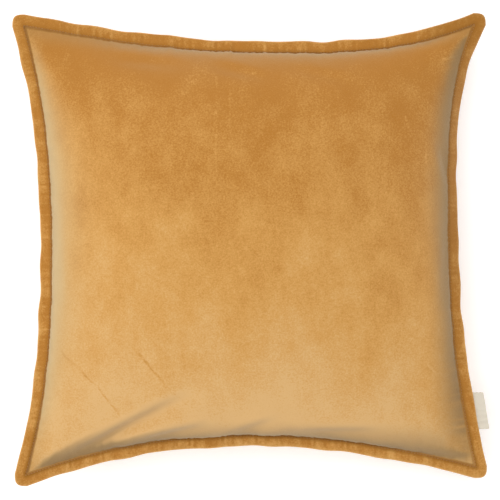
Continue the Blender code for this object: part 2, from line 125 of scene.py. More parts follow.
def mesh_of(name, points, quads, caps=()):
    """A mesh of quads, and of a few larger faces that close its ends."""
    mesh = bpy.data.meshes.new(name)
    faces = quads.tolist() + [list(cap) for cap in caps]
    mesh.from_pydata(points.reshape(-1, 3).tolist(), [], faces)
    mesh.update()
    return mesh


def surface(name, points, finish, turned=False):
    """An open sheet from a grid of points (rows, columns, xyz), its face up or turned down."""
    index = np.arange(points.shape[0] * points.shape[1]).reshape(points.shape[:2])
    quads = quads_of(index)
    return new_object(name, mesh_of(name, points, quads[:, ::-1] if turned else quads), finish)


def thicken(sheet, thickness):
    """Give a sheet its thickness behind its face, with closed edges."""
    wall = sheet.modifiers.new("thickness", "SOLIDIFY")
    wall.thickness = thickness
    wall.offset = -1.0
    return sheet


def unit(vectors):
    """Vectors of the same directions and length one."""
    return vectors / np.linalg.norm(vectors, axis=-1, keepdims=True)


def outward(points):
    """Directions square to a grid of points: its columns' direction crossed with its rows'."""
    return unit(np.cross(np.gradient(points, axis=1), np.gradient(points, axis=0)))


def tube(name, path, radius, finish, sides=6, closed=False, across=(0.0, 0.0, 1.0)):
    """A circle carried along a path.

    At each point the circle lies in the plane square to the path: one axis is the path's
    direction crossed with the fixed direction across, the other is square to both.
    """
    path = np.asarray(path)
    ahead = np.roll(path, -1, 0) - np.roll(path, 1, 0) if closed else np.gradient(path, axis=0)
    side = unit(np.cross(ahead, across))
    lift = unit(np.cross(side, ahead))
    turn = np.arange(sides) * 2 * math.pi / sides
    ring = np.cos(turn)[None, :, None] * side[:, None] + np.sin(turn)[None, :, None] * lift[:, None]
    points = path[:, None] + radius * ring
    index = np.arange(len(path) * sides).reshape(len(path), sides)
    caps = () if closed else (index[0], index[-1][::-1])
    loop = np.concatenate([index, index[:1]]) if closed else index
    loop = np.concatenate([loop, loop[:, :1]], axis=1)
    return new_object(name, mesh_of(name, points, quads_of(loop)[:, ::-1], caps), finish)


def claim(piece, slot, *nodes):
    """Attach a piece to the pillow's body so that it moves with the pillow, and hide the nodes it stands
    for; slot is not used.
    """
    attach(piece, "pillow")
    if nodes:
        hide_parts(*nodes)


# %% [markdown]
# ## Shader maths as plain expressions
#
# A node tree is easier to read as a formula. `Wire` wraps one socket, and adding or
# multiplying wires adds Math nodes. `Finish` starts a material and adds any other node.


# %% Wires and finishes
class Wire:
    """One value coming out of a node; arithmetic on it adds Math nodes."""

    def __init__(self, finish, socket):
        self.finish = finish
        self.socket = socket

    def math(self, operation, *others):
        """A Math node on this value and others, in this order."""
        return self.finish.node("Math", {"operation": operation}, dict(enumerate((self, *others))))

    def __add__(self, other):
        return self.math("ADD", other)

    def __sub__(self, other):
        return self.math("SUBTRACT", other)

    def __mul__(self, other):
        return self.math("MULTIPLY", other)

    def __rsub__(self, other):
        return self.finish.node("Math", {"operation": "SUBTRACT"}, {0: other, 1: self})

    __radd__ = __add__
    __rmul__ = __mul__

    def clamp(self):
        """The value kept between 0 and 1."""
        return self.finish.node("Clamp", {}, {"Value": self})

    def ease(self, low, high):
        """0 below low, 1 above high, and a smooth step between."""
        return self.finish.node("MapRange", {"interpolation_type": "SMOOTHSTEP"},
                                {"Value": self, "From Min": low, "From Max": high})


class Finish:
    """A material built node by node."""

    def __init__(self, name):
        self.material = bpy.data.materials.new(name)
        self.material.use_nodes = True
        self.tree = self.material.node_tree
        self.shader = self.tree.nodes["Principled BSDF"]

    def node(self, kind, settings, sockets, out=0):
        """Add a node, set it up, feed its sockets and wrap the output that is asked for."""
        made = self.tree.nodes.new("ShaderNode" + kind)
        for name, value in settings.items():
            if name == "stops":
                self.set_stops(made.color_ramp, value)
            else:
                setattr(made, name, value)
        for place, value in sockets.items():
            if isinstance(value, Wire):
                self.tree.links.new(value.socket, made.inputs[place])
            else:
                made.inputs[place].default_value = value
        return Wire(self, made.outputs[out])

    @staticmethod
    def set_stops(ramp, stops):
        """Give a colour ramp its stops."""
        while len(ramp.elements) < len(stops):
            ramp.elements.new(0.5)
        for element, (place, color) in zip(ramp.elements, stops):
            element.position = place
            element.color = (*color, 1.0)

    def place(self):
        """Where a point lies on the object, in metres."""
        return self.node("TexCoord", {}, {}, "Object")

    def written(self, name):
        """A number that is written on the points of the mesh."""
        return self.node("Attribute", {"attribute_name": name}, {}, "Fac")

    def axes(self, vector):
        """The three numbers of a vector, as three wires."""
        made = self.tree.nodes.new("ShaderNodeSeparateXYZ")
        self.tree.links.new(vector.socket, made.inputs[0])
        return [Wire(self, socket) for socket in made.outputs]

    def stretch(self, vector, scale, offset=(0.0, 0.0, 0.0)):
        """A pattern's place, scaled and moved."""
        return self.node("Mapping", {}, {"Vector": vector, "Scale": scale, "Location": offset})

    def noise(self, vector, scale, detail, roughness=0.5):
        """Soft noise between 0 and 1."""
        return self.node("TexNoise", {}, {"Vector": vector, "Scale": scale, "Detail": detail,
                                          "Roughness": roughness})

    def mix(self, share, first, second):
        """One colour where share is 0 and another where it is 1."""
        return self.node("Mix", {"data_type": "RGBA"}, {0: share, 6: first, 7: second}, 2)

    def bump(self, height, distance, strength, under=None):
        """A bumped normal, on top of another one if it is given."""
        sockets = {"Height": height, "Distance": distance, "Strength": strength}
        if under is not None:
            sockets["Normal"] = under
        return self.node("Bump", {}, sockets)

    def set(self, **values):
        """Set or link the Principled shader's sockets; an underscore stands for a space."""
        for name, value in values.items():
            socket = self.shader.inputs[name.replace("_", " ")]
            if isinstance(value, Wire):
                self.tree.links.new(value.socket, socket)
            else:
                socket.default_value = value
        return self.material


def rgb(red, green, blue):
    """A colour with full opacity."""
    return (red, green, blue, 1.0)


# %% [markdown]
# ## Velvet
#
# Velvet is a cloth of short upright fibres. Seen along the fibres it looks deep and saturated,
# and seen across them it looks pale, a sheen that follows the way that the pile leans. Here
# that sheen is painted into the colour: the lean is a fixed direction, and the surface
# normal's share along it, with a painted gradient that pales towards the lower left, chooses
# between a deep and a pale ochre. Slow noise is the brushed, handled look, and a very fine one
# the pile itself. Browns and a beige then take over where the cloth turns steeply, falls away
# from the lamp or is tucked against a seam: painted shade, painted shadow and a painted
# highlight on the side towards the lamp. Crease lines and the flange's gathers, seam strip
# and fold get painted shade and highlight too, and the shader's own sheen lights the rims.


# %% Velvet
# The pile's lean: where the normal leans along it, the painted sheen makes the velvet paler.
PILE_LEAN = (-0.12, -0.95, 0.0)
DEEP_OCHRE = (0.40, 0.155, 0.015)
WARM_OCHRE = (0.58, 0.293, 0.072)
PALE_OCHRE = (0.65, 0.395, 0.160)
PILE_TIPS = rgb(0.72, 0.45, 0.19)
# Painted light and shade on the body: a highlight on the side towards the lamp, shade by the seams, sheen
# and shade on steep cloth.
LIT_SIDE_BEIGE = rgb(0.50, 0.355, 0.165)
RIM_SHADE_BROWN = rgb(0.42, 0.260, 0.100)
STEEP_SHADE_BROWN = rgb(0.325, 0.200, 0.078)
STEEP_SHEEN_BEIGE = rgb(0.47, 0.345, 0.175)
SHADE_BROWN = rgb(0.235, 0.145, 0.060)
# Painted shadow where the flange is tucked against the body.
TUCKED_SHADOW_BROWN = rgb(0.24, 0.095, 0.010)
SEAM_BROWN = rgb(0.22, 0.080, 0.010)
MIDDLE_FOLD = -0.036          # where the faint fold line of storage runs up the front
# start x, y, end x, y and depth; a positive depth paints shade along a crease, and a line of crushed pile,
# lighter than the cloth, has a negative depth
CREASE_SHADE_AND_CRUSH_LINES = ((-0.185, -0.116, -0.133, -0.176, 0.45), (-0.124, -0.098, -0.083, -0.147, 0.40),
           (-0.087, -0.143, -0.062, -0.165, 0.20), (-0.205, -0.100, -0.180, -0.124, 0.25),
           (0.092, 0.128, 0.098, 0.139, -0.30), (0.164, 0.125, 0.160, 0.142, -0.30),
           (0.196, 0.199, 0.224, 0.207, -0.32), (0.183, 0.080, 0.182, 0.106, -0.28),
           (0.182, -0.116, 0.196, -0.130, -0.30), (-0.022, 0.112, -0.021, 0.176, -0.15))


def line_mask(x, y, wander, start_x, start_y, end_x, end_y):
    """1 on a thin line between two points, fading across it and towards its ends.

    Along is the place's share of the line, and aside its distance from it; a little noise
    makes the line wander.
    """
    run_x, run_y = end_x - start_x, end_y - start_y
    length = math.hypot(run_x, run_y)
    ahead_x, ahead_y = run_x / length, run_y / length
    along = (x - start_x) * (ahead_x / length) + (y - start_y) * (ahead_y / length)
    aside = ((x - start_x) * ahead_y - (y - start_y) * ahead_x + wander).math("ABSOLUTE")
    ends = along.ease(0.0, 0.3) * (1.0 - along.ease(0.7, 1.0))
    return (1.0 - aside.ease(0.0003, 0.0020)) * ends


def wear_and_crease_shade(velvet, place, x, y, broad, patchy):
    """What storage and handling add to the paleness: painted shade along each crease line, lighter lines of
    crushed pile, one fold line and scuffs.
    """
    wander = (patchy - 0.5) * 0.011
    worn = velvet.noise(velvet.stretch(place, (1.0, 1.0, 1.0), (0.0, 7.0, 0.0)), 140.0, 3.0, 0.7)
    # Painted shade along crease lines where the depth is positive, and lighter crushed pile where it is
    # negative.
    crease_shade_and_crush = sum(line_mask(x, y, wander, *ends) * -depth for *ends, depth in CREASE_SHADE_AND_CRUSH_LINES)
    fold_line = 1.0 - (x - MIDDLE_FOLD + wander * 0.5).math("ABSOLUTE").ease(0.0002, 0.0022)
    fold_line = fold_line * worn.ease(0.42, 0.70) * y.ease(0.04, 0.09) * (1.0 - y.ease(0.17, 0.20))
    scuffs = velvet.noise(velvet.stretch(place, (1.0, 0.45, 1.0), (0.3, 0.2, 0.0)), 150.0, 1.0, 0.5)
    scuffs = scuffs.ease(0.70, 0.80) * broad.ease(0.50, 0.62)
    return crease_shade_and_crush * worn.ease(0.30, 0.60) + fold_line * 0.34 + scuffs * 0.22


def flange_painted_light(past, gather, flange, patchy):
    """What the flange adds: painted highlight and shade on its gathers by the seam, painted shade by the
    seam that leaves its outer half paler, and a painted highlight on its fold.
    """
    # Painted highlight on the gathers' crests and painted shade in their hollows, near the seam.
    by_seam = 1.0 - (past - 0.002).math("ABSOLUTE").ease(0.002, 0.012)
    # Painted shade by the seam, fading to a paler outer half, with random patches.
    outer_half = (past - 0.006) * 26.0 + (patchy - 0.5) * 1.5
    # The last term is a painted highlight along the rounded fold.
    return gather * 0.26 * by_seam + flange * outer_half + past.ease(0.0112, 0.0128) * 0.35


def body_painted_light_and_shade(velvet, color, normal, past, flange, patchy):
    """Painted light and shade on the body: a beige highlight where it turns to the left, towards the lamp,
    painted sheen on steep cloth, beige on the lit left side and brown elsewhere, and painted shade in
    browns by the seam and where it faces away from the lamp.
    """
    right, back, up = velvet.axes(normal)
    body = 1.0 - flange
    leftward = (right * -1.0).ease(0.15, 0.75)
    # Painted highlight where the body turns left, towards the lamp.
    beige = (right * -1.0).ease(0.30, 0.95) * body * 0.75
    # Painted shade in a band by the seam, except on the lit left side.
    rim = past.ease(-0.026, -0.001) * body * (1.0 - leftward) * 0.38
    # Painted sheen on steep cloth, beige on the lit left side and brown in shade.
    steep = (1.0 - up.math("ABSOLUTE").ease(0.25, 0.92)) * body * (0.60 + patchy * 0.5)
    # Painted shade where the body faces right or down, away from the lamp, near the seam.
    shaded = (right * 0.84 - back * 1.08).ease(0.10, 0.66) * past.ease(-0.056, -0.004)
    shaded = shaded * body * (0.70 + patchy * 0.4)
    color = velvet.mix(beige, color, LIT_SIDE_BEIGE)
    color = velvet.mix(rim, color, RIM_SHADE_BROWN)
    color = velvet.mix((steep * 0.80).clamp(), color, velvet.mix(leftward, STEEP_SHADE_BROWN, STEEP_SHEEN_BEIGE))
    return velvet.mix((shaded * 0.90).clamp(), color, SHADE_BROWN)


def seam_line_and_shadow(velvet, color, x, y, past, flange):
    """Painted shadow in dark brown where the flange is tucked against the body and on the flange at the
    upper right, and a dark line on the seam itself.
    """
    low_side = (y * -1.0).ease(0.12, 0.20)
    # Painted shadow on the flange by the seam, stronger on the low side, and on the upper right flange,
    # which faces away from the lamp.
    tucked = (1.0 - past.ease(0.0008, 0.0060)) * flange * (0.30 + low_side * 0.50)
    tucked = tucked + x.ease(0.17, 0.20) * y.ease(-0.14, 0.04) * flange * 0.34
    seam = 1.0 - (past + 0.0003).math("ABSOLUTE").ease(0.0006, 0.0024)
    color = velvet.mix(tucked.clamp(), color, TUCKED_SHADOW_BROWN)
    return velvet.mix(seam * 0.50, color, SEAM_BROWN)


def velvet_finish():
    """Ochre velvet: painted sheen from the pile's lean, brushed patches, handling marks, painted light and
    shade, gathers and fine grain.
    """
    velvet = Finish("ochre_velvet")
    place = velvet.place()
    x, y = velvet.axes(place)[:2]
    past, gather = velvet.written("past_seam"), velvet.written("gather")
    flange = past.ease(0.0, 0.0015)
    normal = velvet.node("NewGeometry", {}, {}, "Normal")
    lean = velvet.node("VectorMath", {"operation": "DOT_PRODUCT"}, {0: normal, 1: PILE_LEAN}, "Value")
    broad = velvet.noise(place, 9.0, 3.0)
    patchy = velvet.noise(velvet.stretch(place, (1.0, 0.7, 1.0), (3.0, 1.0, 0.0)), 45.0, 5.0, 0.68)
    brushed = velvet.noise(velvet.stretch(place, (1.5, 0.8, 1.0), (0.4, 0.1, 0.0)), 20.0, 4.0, 0.55)
    fleck = velvet.noise(place, 560.0, 2.0, 0.75)
    grain = velvet.noise(place, 1500.0, 2.0, 0.8)
    # Painted sheen: paler where the normal leans along the pile, plus a painted gradient that pales towards
    # the lower left.
    pale = lean * 0.75 + 0.47 - y * 1.05 - x * 0.12
    pale = pale + (broad - 0.5) * 0.45 + (patchy - 0.5) * 0.70 + (brushed - 0.5) * 0.60
    pale = pale * (1.0 - flange * 0.80) + flange_painted_light(past, gather, flange, patchy)
    pale = pale + (fleck - 0.5) * 1.10 + wear_and_crease_shade(velvet, place, x, y, broad, patchy)
    tone = velvet.node("ValToRGB", {"stops": ((0.0, DEEP_OCHRE), (0.55, WARM_OCHRE), (1.0, PALE_OCHRE))},
                       {"Fac": pale.clamp()})
    color = velvet.mix((grain - 0.36).clamp() * 0.5, tone, PILE_TIPS)
    color = body_painted_light_and_shade(velvet, color, normal, past, flange, patchy)
    color = seam_line_and_shadow(velvet, color, x, y, past, flange)
    soft = velvet.bump(patchy, 0.0016, 0.35)
    pile = velvet.bump(grain + fleck * 0.8, 0.0005, 0.55, soft)
    return velvet.set(Base_Color=color, Normal=pile, Roughness=0.95, Sheen_Weight=0.28,
                      Sheen_Roughness=0.55, Sheen_Tint=rgb(1.0, 0.90, 0.74), Specular_IOR_Level=0.08)


VELVET = velvet_finish()

# %% [markdown]
# ## Thread, ribbon, tape, nylon, brass, casing and fibre
#
# The small finishes follow the same pattern: a base colour with a little variation, and on all but the
# nylon a bump at the true scale of the weave or the tool marks. The brass and the nylon also have a
# roughness that is not uniform.


# %% The other finishes
def thread_finish(name, light, dark):
    """Spun thread: two tones twisted round each other."""
    thread = Finish(name)
    place = thread.place()
    twist = thread.node("TexWave", {"wave_type": "BANDS", "bands_direction": "DIAGONAL"},
                        {"Vector": place, "Scale": 520.0, "Distortion": 1.5, "Detail": 1.0}, 1)
    color = thread.mix(twist, dark, light)
    return thread.set(Base_Color=color, Roughness=0.6, Normal=thread.bump(twist, 0.00012, 0.8),
                      Sheen_Weight=0.2)


def woven_finish(name, light, dark, pitch, roughness, skew=0.0):
    """A fine weave: two crossed sets of ribs, pitch apart, with a slight colour change."""
    woven = Finish(name)
    place = woven.place()
    x, y = woven.axes(place)[:2]
    rate = 2 * math.pi / pitch
    warp = ((x + y * skew) * rate).math("SINE")
    weft = ((y - x * skew) * rate).math("SINE")
    rib = warp * weft * 0.5 + 0.5
    cloudy = woven.noise(place, 60.0, 3.0)
    color = woven.mix((rib * 0.6 + cloudy * 0.4).clamp(), dark, light)
    return woven.set(Base_Color=color, Roughness=roughness, Normal=woven.bump(rib, pitch * 0.3, 0.6),
                     Sheen_Weight=0.15)


def brass_finish():
    """Antique brass: brown in the hollows, scratched and brighter where it is rubbed."""
    brass = Finish("antique_brass")
    place = brass.place()
    cloud = brass.noise(place, 320.0, 4.0, 0.6)
    scratch = brass.noise(brass.stretch(place, (0.2, 3.0, 3.0)), 2400.0, 2.0, 0.7)
    color = brass.mix(cloud.ease(0.35, 0.7), rgb(0.20, 0.125, 0.05), rgb(0.58, 0.43, 0.22))
    rough = scratch * 0.25 + 0.28
    return brass.set(Base_Color=color, Metallic=1.0, Roughness=rough,
                     Normal=brass.bump(scratch, 0.00004, 0.5))


def nylon_finish():
    """Nylon wire of the coil: smooth, slightly cloudy ochre."""
    nylon = Finish("nylon_coil")
    cloud = nylon.noise(nylon.place(), 400.0, 2.0)
    color = nylon.mix(cloud, rgb(0.42, 0.23, 0.06), rgb(0.55, 0.33, 0.11))
    return nylon.set(Base_Color=color, Roughness=cloud * 0.2 + 0.3)


THREAD = thread_finish("ochre_thread", rgb(0.40, 0.190, 0.040), rgb(0.26, 0.110, 0.018))
CASING_THREAD = thread_finish("white_thread", rgb(0.90, 0.89, 0.86), rgb(0.78, 0.77, 0.74))
RIBBON = woven_finish("ivory_ribbon", rgb(0.80, 0.73, 0.61), rgb(0.66, 0.59, 0.47), 0.0007, 0.55)
TAPE = woven_finish("zip_tape", rgb(0.56, 0.33, 0.09), rgb(0.40, 0.21, 0.05), 0.0009, 0.75, 0.5)
CASING = woven_finish("cambric", rgb(0.90, 0.89, 0.86), rgb(0.80, 0.79, 0.76), 0.0006, 0.8)
FIBRE = woven_finish("fibre", rgb(0.93, 0.92, 0.90), rgb(0.84, 0.83, 0.81), 0.0025, 0.9, 0.7)
BRASS = brass_finish()
NYLON = nylon_finish()

# %% [markdown]
# ## The floor
#
# A large pale table top. It gives off a little light of its own, as an acrylic light table
# does, which keeps the shadow round the pillow faint. Further off it glows more, and a low
# white wall stands round it, so that it is white up to the horizon in a low view.

# %% The floor
FLOOR_HALF = 40.0
WALL_RADIUS = 30.0
WALL_HEIGHT = 9.0
floor_finish = Finish("pale_floor")
far_off = floor_finish.node("VectorMath", {"operation": "LENGTH"}, {0: floor_finish.place()}, "Value")
glow = floor_finish.mix(far_off.ease(0.8, 9.0), rgb(0.42, 0.42, 0.42), rgb(1.0, 1.0, 1.0))
floor_finish.set(Base_Color=rgb(0.93, 0.93, 0.93), Roughness=0.9, Emission_Color=glow,
                 Emission_Strength=0.72)
floor_points = np.array([[[-1.0, -1.0, 0.0], [1.0, -1.0, 0.0]], [[-1.0, 1.0, 0.0], [1.0, 1.0, 0.0]]])
floor = surface("floor", floor_points * FLOOR_HALF, floor_finish.material)
wall_finish = Finish("white_wall")
wall_finish.set(Base_Color=rgb(0.9, 0.9, 0.9), Roughness=0.9, Emission_Color=rgb(1.0, 1.0, 1.0),
                Emission_Strength=0.9)
wall_turn = np.linspace(0, 2 * math.pi, 97)[None, :]
wall_rise = np.linspace(0, WALL_HEIGHT, 2)[:, None]
wall_points = np.stack(np.broadcast_arrays(WALL_RADIUS * np.cos(wall_turn), WALL_RADIUS * np.sin(wall_turn),
                                           wall_rise), -1)
wall = surface("wall", wall_points, wall_finish.material, turned=True)

# %% [markdown]
# ## The outline of the stuffed cover
#
# Stuffing draws the sides of a pillow in between its corners, never quite evenly. The
# outline is four corners and four bows. Each bow has a depth, a fullness (2 is a parabola,
# more is squarer) and a skew that moves its deepest point along the side.

# %% Outline
TOP_LEFT = (-0.2395, 0.2362)
TOP_RIGHT = (0.2355, 0.2378)
LOW_LEFT = (-0.2370, -0.2370)
LOW_RIGHT = (0.2368, -0.2285)
BOWS = {"left": (0.0282, 2.4, 0.0), "right": (0.0278, 2.9, 0.16),
        "top": (0.0298, 2.4, 0.20), "bottom": (0.0380, 2.0, -0.06)}
WRAP = math.radians(81)       # how steeply a panel leaves the flange at the middle of a side
WOBBLE = 0.4 * MM             # unevenness of the sewn seam
CORNER_SAG = 5.0              # millimetres by which the corners hang below the middle of the sides


def waves(along, seed, longest, count=5):
    """Smooth random curve: sines of falling wavelength, from longest, with seeded phases."""
    draw = np.random.default_rng(seed)
    total = np.zeros_like(along)
    for step in range(count):
        rate = 2 * math.pi / (longest / (1.0 + 0.62 * step))
        total = total + draw.uniform(0.4, 1.0) * np.sin(rate * along + draw.uniform(0, 2 * math.pi))
    return total / math.sqrt(count)


def bow(side, share, seed):
    """How far a side is drawn in at a share of its length, -1 to 1."""
    depth, fullness, skew = BOWS[side]
    moved = share - skew * (1 - share ** 2)
    uneven = WOBBLE * waves(share * 0.25, seed, 0.11) * (1 - share ** 4)
    return depth * (1 - np.abs(moved) ** fullness) + uneven


def plan(s, t):
    """Plan of the cover at shares s across and t along it.

    The four corners are blended evenly, and each side's bow fades with the square of the
    distance to the other side, which leaves the middle of the pillow in place.
    """
    left, right, low, high = (1 - s) / 2, (1 + s) / 2, (1 - t) / 2, (1 + t) / 2
    x, y = (left * high * TOP_LEFT[k] + right * high * TOP_RIGHT[k]
            + left * low * LOW_LEFT[k] + right * low * LOW_RIGHT[k] for k in (0, 1))
    x = x + bow("left", t, 1) * left ** 2 - bow("right", t, 2) * right ** 2
    y = y + bow("bottom", s, 3) * low ** 2 - bow("top", s, 4) * high ** 2
    return x, y


def arc_profile(share):
    """Distance and rise along an arc that turns by WRAP from the crown to the seam."""
    turn = np.clip(share, -1, 1) * WRAP
    return np.sin(turn) / math.sin(WRAP), (np.cos(turn) - math.cos(WRAP)) / (1 - math.cos(WRAP))


def sway(x, y):
    """Height that the seam's plane gains or loses over the plan: its corners sag a little."""
    corner = np.abs(x * y) / (TOP_RIGHT[0] * TOP_RIGHT[1])
    roll = 1.6 * np.sin(17.0 * x + 0.6) * np.sin(13.0 * y - 0.4) + 0.9 * np.sin(31.0 * x - 19.0 * y)
    return (roll - CORNER_SAG * corner ** 2) * MM


def stuffed(u, v, rise, base):
    """Points of a stuffed panel over the plan, at shares u and v of its flat width and height.

    Across the middle the spacing follows the arc, and along a seam it is even, as it is sewn.
    """
    across, rise_u = arc_profile(u)
    along, rise_v = arc_profile(v)
    across, along = u + (across - u) * rise_v, v + (along - v) * rise_u
    x, y = plan(across, along)
    return np.stack(np.broadcast_arrays(x, y, base + sway(x, y) + rise * rise_u * rise_v), -1)


print("outline: corners", TOP_LEFT, TOP_RIGHT, LOW_RIGHT, LOW_LEFT)

# %% [markdown]
# ## The front panel, blown up like a real one
#
# A flat square of cloth cannot follow a ball. When its edges are drawn in and the inside is
# under pressure, it buckles into the soft dents that every pillow has near its seams. A
# formula misses those, so the panel is simulated. It starts as the flat cut. A shape key
# carries its pinned edge to the drawn-in seam while the pressure lifts the middle.

# %% Inflating the front panel
FLAT_HALF = 0.2365            # flat cut of the body, from the middle to the flange seam
CLOTH_CELLS = 72
FRONT_RISE = 0.086
FLANGE_BODY = 4.0 * MM        # thickness of the flange
SEAM_LIFT = 0.9 * MM          # half the flange's thickness where the stitches pull it flat
DRAW_FRAMES = 20
FRAMES = 52
PRESSURE = 360.0
SIMULATED = 0.62              # share of the simulated shape, the rest being the even one
SOFTENING = 8                 # rounds of averaging, which take out creases but leave the dents


def inflate(goal, push):
    """Let a flat square of cloth settle under pressure while its border moves to the goal's."""
    count = goal.shape[0]
    index = np.arange(count * count).reshape(count, count)
    share = np.linspace(-1, 1, count) * FLAT_HALF
    flat_x, flat_y = np.meshgrid(share, share)
    flat = np.stack([flat_x, flat_y, np.full_like(flat_x, FLANGE_HEIGHT)], -1)
    mesh = mesh_of("cloth", flat, quads_of(index))
    cloth = bpy.data.objects.new("cloth", mesh)
    bpy.context.scene.collection.objects.link(cloth)
    cloth.shape_key_add(name="flat cut")
    sewn = cloth.shape_key_add(name="sewn")
    sewn.data.foreach_set("co", goal.reshape(-1))
    for frame_number, value in ((1, 0.0), (1 + DRAW_FRAMES, 1.0)):
        sewn.value = value
        sewn.keyframe_insert("value", frame=frame_number)
    border = np.concatenate([index[0], index[-1], index[:, 0], index[:, -1]])
    cloth.vertex_groups.new(name="seam").add(border.tolist(), 1.0, "REPLACE")
    physics = cloth.modifiers.new("cloth", "CLOTH")
    settings = physics.settings
    settings.vertex_group_mass = "seam"
    settings.quality = 7
    settings.mass = 0.02
    settings.tension_stiffness = 60
    settings.compression_stiffness = 60
    settings.shear_stiffness = 20
    settings.bending_stiffness = 2.0
    settings.air_damping = 4
    settings.use_pressure = True
    settings.uniform_pressure_force = push
    settings.effector_weights.gravity = 0
    physics.collision_settings.use_collision = False
    physics.point_cache.frame_end = FRAMES
    for step in range(1, FRAMES + 1):
        bpy.context.scene.frame_set(step)
    settled = cloth.evaluated_get(bpy.context.evaluated_depsgraph_get()).to_mesh()
    points = np.empty(count * count * 3, dtype=np.float32)
    settled.vertices.foreach_get("co", points)
    action = mesh.shape_keys.animation_data.action
    bpy.data.objects.remove(cloth, do_unlink=True)
    bpy.data.meshes.remove(mesh)
    bpy.data.actions.remove(action)
    bpy.context.scene.frame_set(1)
    return points.reshape(goal.shape).astype(float)


def soften(grid, rounds):
    """Average each place of a grid with its neighbours; the border stays as it is."""
    grid = grid.copy()
    for _ in range(rounds):
        around = grid[:-2, 1:-1] + grid[2:, 1:-1] + grid[1:-1, :-2] + grid[1:-1, 2:]
        grid[1:-1, 1:-1] = grid[1:-1, 1:-1] / 2 + around / 8
    return grid


cloth_share = np.linspace(-1, 1, CLOTH_CELLS + 1)
front_goal = stuffed(*np.meshgrid(cloth_share, cloth_share), FRONT_RISE, FLANGE_HEIGHT + SEAM_LIFT)
front_cloth = inflate(front_goal, PRESSURE)
front_cloth = front_goal + soften(front_cloth - front_goal, SOFTENING) * SIMULATED
print("front: crown %.1f mm above the seam" % ((front_cloth[..., 2].max() - FLANGE_HEIGHT) / MM))

# %% [markdown]
# ## From the coarse cloth to the panel
#
# Four neighbours and a cubic blend read the simulated points at finer places. The flange is
# then grown outside the border: it runs straight out from the seam, droops a little, swells
# to its full thickness and closes in a rounded fold. Sewing gathers it into small puckers,
# which also run a little way up the body.

# %% The flange
BODY_CELLS = 176
FLANGE = 0.013
# shares of the flange's width, closer together at the seam and round the fold
FLANGE_STEPS = np.array([0.0, 0.06, 0.12, 0.2, 0.3, 0.42, 0.55, 0.68, 0.8, 0.89, 0.95, 0.985, 1.0])
# degrees below level at the low or left end of a side, and at its high or right end
DROOP = {"left": (12, 12), "right": (2, 60), "top": (10, 10), "bottom": (14, 14)}
PUCKER = 0.85 * MM
PUCKER_LENGTH = 0.020
# the gathers' colour near the seam is painted highlight and shade
MARK_FADE = 0.012             # distance over which the gathers' colour fades from the seam
RUFFLE = 1.4 * MM             # height of the gathers on the body
VELVET_WALL = 1.0 * MM
CORNER_ROUND = 3.4            # power of the corner's curve: 2 is a circle, more is squarer


def finer(points, count):
    """Read a grid of points at count places a side with a cubic through four neighbours."""
    for axis in (0, 1):
        points = np.moveaxis(points, axis, 0)
        padded = np.concatenate([2 * points[:1] - points[1:2], points, 2 * points[-1:] - points[-2:-1]])
        place = np.linspace(0, len(points) - 1, count)
        low = np.clip(np.floor(place).astype(int), 0, len(points) - 2)
        f = (place - low).reshape(-1, *[1] * (points.ndim - 1))
        weights = (2 * f ** 2 - f ** 3 - f, 3 * f ** 3 - 5 * f ** 2 + 2, 4 * f ** 2 - 3 * f ** 3 + f,
                   f ** 3 - f ** 2)
        points = sum(weight * padded[low + step] for step, weight in enumerate(weights)) / 2
        points = np.moveaxis(points, 0, axis)
    return points


def swell(e, lift):
    """Height of the flange's face over its middle plane, from the seam (0) to the fold (1)."""
    start = np.clip(e / 0.22, 0, 1)
    rise = np.sqrt(start * (2 - start))
    fold = np.sqrt(np.clip(1 - (np.clip(e - 0.86, 0, None) / 0.14) ** 2, 0, 1))
    return (SEAM_LIFT + (lift - SEAM_LIFT) * rise) * fold


def puckers(share, side):
    """Uneven gathers along one side of the pillow, fading at its corners."""
    return waves(share * FLAT_HALF, 11 + side, PUCKER_LENGTH, 6) * (1 - np.abs(share) ** 8)


def flange_offset(u, v, beyond_u, beyond_v, lift):
    """How far a place on the flange lies from the seam point that it grows from.

    u and v are shares along the sides, beyond_u and beyond_v the shares of the flange's
    width past the seam, with sign. lift is half the thickness, negative for the under side.
    """
    total = np.zeros(np.broadcast(u, v, beyond_u, beyond_v).shape + (3,))
    past = np.maximum(np.abs(beyond_u), np.abs(beyond_v))
    spread = (np.abs(beyond_u) ** CORNER_ROUND + np.abs(beyond_v) ** CORNER_ROUND) ** (1 / CORNER_ROUND)
    tip = past / np.maximum(spread, 1e-9)
    for axis, share, beyond, names in ((0, v, beyond_u, ("left", "right")),
                                       (1, u, beyond_v, ("bottom", "top"))):
        ends = [np.where(beyond < 0, DROOP[names[0]][k], DROOP[names[1]][k]) for k in (0, 1)]
        angle = np.radians(ends[0] + (ends[1] - ends[0]) * (share + 1) / 2)
        angle = angle * (1 - np.abs(share) ** 5)
        uneven = waves(share * FLAT_HALF, 41 + axis, 0.150) * np.where(beyond < 0, 1.0, -1.0)
        reach = np.abs(beyond) * FLANGE * tip * (1 + 0.07 * uneven * (1 - share ** 8))
        gather = np.where(beyond < 0, puckers(share, 2 * axis), puckers(share, 2 * axis + 1))
        gather = PUCKER * gather * np.sin(math.pi * np.clip(np.abs(beyond), 0, 0.8))
        total[..., axis] += np.sign(beyond) * (reach * np.cos(angle) - 0.15 * gather)
        total[..., 2] += gather - reach * np.sin(angle)
    total[..., 2] += math.copysign(1.0, lift) * (swell(past, abs(lift)) - SEAM_LIFT)
    return total


